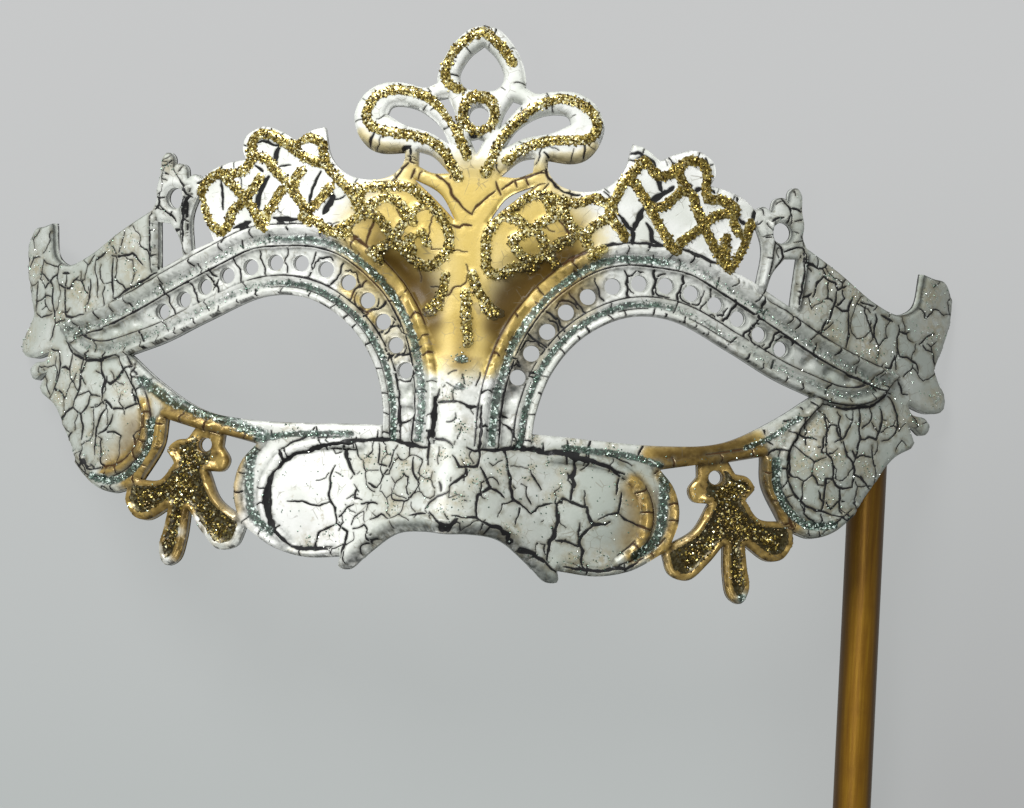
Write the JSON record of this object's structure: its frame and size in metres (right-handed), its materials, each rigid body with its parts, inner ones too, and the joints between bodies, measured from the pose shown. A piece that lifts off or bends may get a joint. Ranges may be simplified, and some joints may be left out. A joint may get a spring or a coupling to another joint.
{
  "type": "masquerade mask on stick",
  "caption": "Pierced half mask with an open crest, eye bands, cheeks and pendants, glued at one cheek to a round stick and lying face up.",
  "frame": {"origin": "middle of the underside of the whole object's box, on the surface it lies on", "axes": "+Z out of the mask's face, +Y along the stick towards the crest, X across the face, +X on the stick's side"},
  "size_m": [0.1904, 0.3656, 0.0553],
  "materials": {
    "crackle_paint": "white paint crackled open over black, shaded with gold on the brow, the rims and the pendants",
    "gilt_wood": "satin gold paint on a turned rod",
    "glue": "milky hot-melt glue",
    "gold_glitter": "coarse gold glitter in clear glue",
    "silver_glitter": "fine pale glitter"
  },
  "bodies": {
    "root": {"mask": "crackle_paint", "stick": "gilt_wood", "glue_bead": "glue"}
  },
  "joints": []
}
